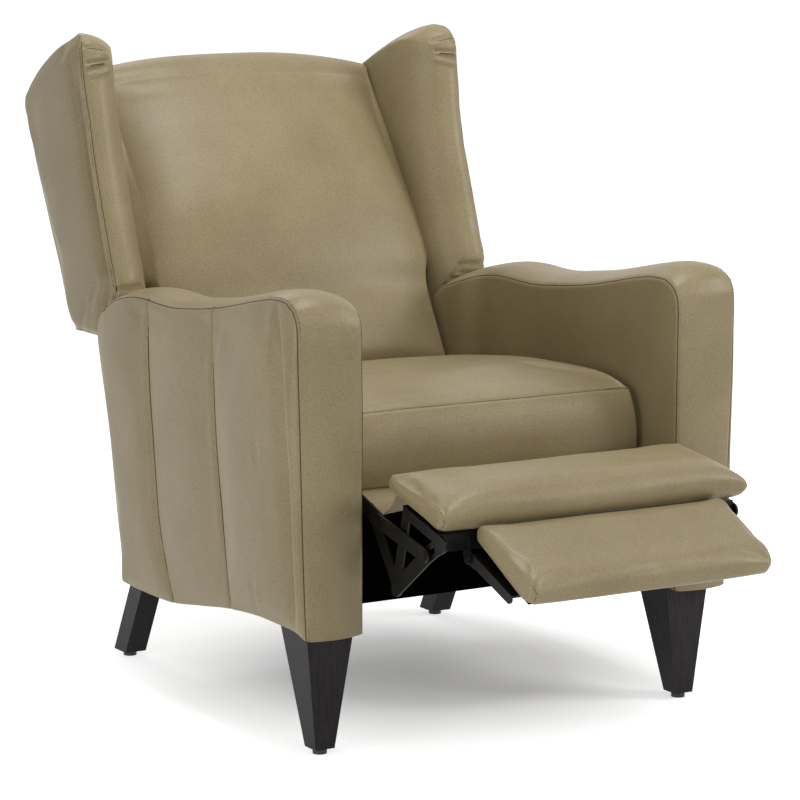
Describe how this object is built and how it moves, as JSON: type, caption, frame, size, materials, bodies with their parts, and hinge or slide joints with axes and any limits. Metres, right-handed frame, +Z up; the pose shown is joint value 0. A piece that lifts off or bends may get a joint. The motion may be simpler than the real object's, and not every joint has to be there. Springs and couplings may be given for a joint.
{
  "type": "high leg recliner",
  "caption": "Leather wing recliner on tapered wooden legs, footrest with folding extension, back and seat on a swing linkage.",
  "frame": {"origin": "on the floor under the middle of the chair's whole footprint with the footrest open", "axes": "+Z up, the chair faces -Y, +X to the right seen from the front"},
  "size_m": [0.809, 1.3785, 1.046],
  "materials": {
    "leather": "satin, fine grain",
    "leg_wood": "espresso stain, satin",
    "frame_wood": "sawn hardwood",
    "black_board": "painted matt black",
    "glide_plastic": "matt",
    "webbing": "woven strap",
    "black_steel": "semi-gloss black",
    "bright_pin": "gloss black rivets"
  },
  "bodies": {
    "base": {"left_arm": "leather", "right_arm": "leather", "left_arm_frame": "frame_wood", "right_arm_frame": "frame_wood", "left_front_leg": "leg_wood", "right_front_leg": "leg_wood", "left_rear_leg": "leg_wood", "right_rear_leg": "leg_wood", "leg_glides": "glide_plastic", "base_front_panel": "black_board", "base_rear_rail": "black_board", "arm_pivot_bolts": "bright_pin"},
    "back": {"back_left_stile": "frame_wood", "back_right_stile": "frame_wood", "back_top_rail": "frame_wood", "back_bottom_rail": "frame_wood", "left_back_bracket": "black_steel", "right_back_bracket": "black_steel", "back_cushion": "leather", "outside_back": "leather", "left_wing": "leather", "right_wing": "leather", "seat_hinge_pins": "bright_pin"},
    "seat": {"seat_left_rail": "frame_wood", "seat_right_rail": "frame_wood", "seat_front_rail": "frame_wood", "seat_rear_rail": "frame_wood", "seat_webbing": "webbing", "seat_cushion": "leather", "seat_front_border": "leather", "left_seat_mount": "black_steel", "right_seat_mount": "black_steel", "lift_pivot_pins": "bright_pin", "guide_pivot_pins": "bright_pin", "swing_low_pins": "bright_pin"},
    "swing_links": {"left_swing_link": "black_steel", "right_swing_link": "black_steel"},
    "lift_links": {"left_lift_link": "black_steel", "right_lift_link": "black_steel"},
    "footrest": {"left_footrest_bracket": "black_steel", "right_footrest_bracket": "black_steel", "footrest_cross_rail": "black_steel", "footrest_board": "black_board", "footrest_pad": "leather", "bracket_pins": "bright_pin", "extension_hinge_pins": "bright_pin", "footrest_flap": "leather"},
    "guide_links": {"left_guide_link": "black_steel", "right_guide_link": "black_steel", "slot_pins": "bright_pin"},
    "extension": {"left_extension_bracket": "black_steel", "right_extension_bracket": "black_steel", "extension_board": "black_board", "extension_pad": "leather"}
  },
  "joints": [
    {"name": "recline", "type": "hinge", "parent": "base", "child": "back", "pos_m": [0, 0.2994, 0.52], "axis": [1, 0, 0], "range_deg": [-12, 13]},
    {"name": "seat_carry", "type": "hinge", "parent": "back", "child": "seat", "pos_m": [0, 0.3074, 0.425], "axis": [1, 0, 0], "range_deg": [-13, 12]},
    {"name": "swing_link", "type": "hinge", "parent": "base", "child": "swing_links", "pos_m": [0, -0.1786, 0.42], "axis": [1, 0, 0], "range_deg": [-12, 13]},
    {"name": "footrest", "type": "hinge", "parent": "seat", "child": "lift_links", "pos_m": [0, -0.3134, 0.36818], "axis": [1, 0, 0], "range_deg": [0, 125.41]},
    {"name": "footrest_bracket", "type": "hinge", "parent": "lift_links", "child": "footrest", "pos_m": [0, -0.3926, 0.264], "axis": [1, 0, 0], "range_deg": [-35.91, 0]},
    {"name": "guide_link", "type": "hinge", "parent": "seat", "child": "guide_links", "pos_m": [0, -0.3527, 0.36013], "axis": [1, 0, 0], "range_deg": [0, 127.66]},
    {"name": "extension", "type": "hinge", "parent": "footrest", "child": "extension", "pos_m": [0, -0.5266, 0.33], "axis": [1, 0, 0], "range_deg": [0, 158.5]}
  ],
  "couplings": [
    {"joint": "seat_carry", "follows": "recline", "ratio": -1},
    {"joint": "swing_link", "follows": "recline", "ratio": 1},
    {"joint": "footrest_bracket", "follows": "footrest", "ratio": -0.28237},
    {"joint": "guide_link", "follows": "footrest", "ratio": 1.014},
    {"joint": "extension", "follows": "footrest", "ratio": 1.2598}
  ]
}
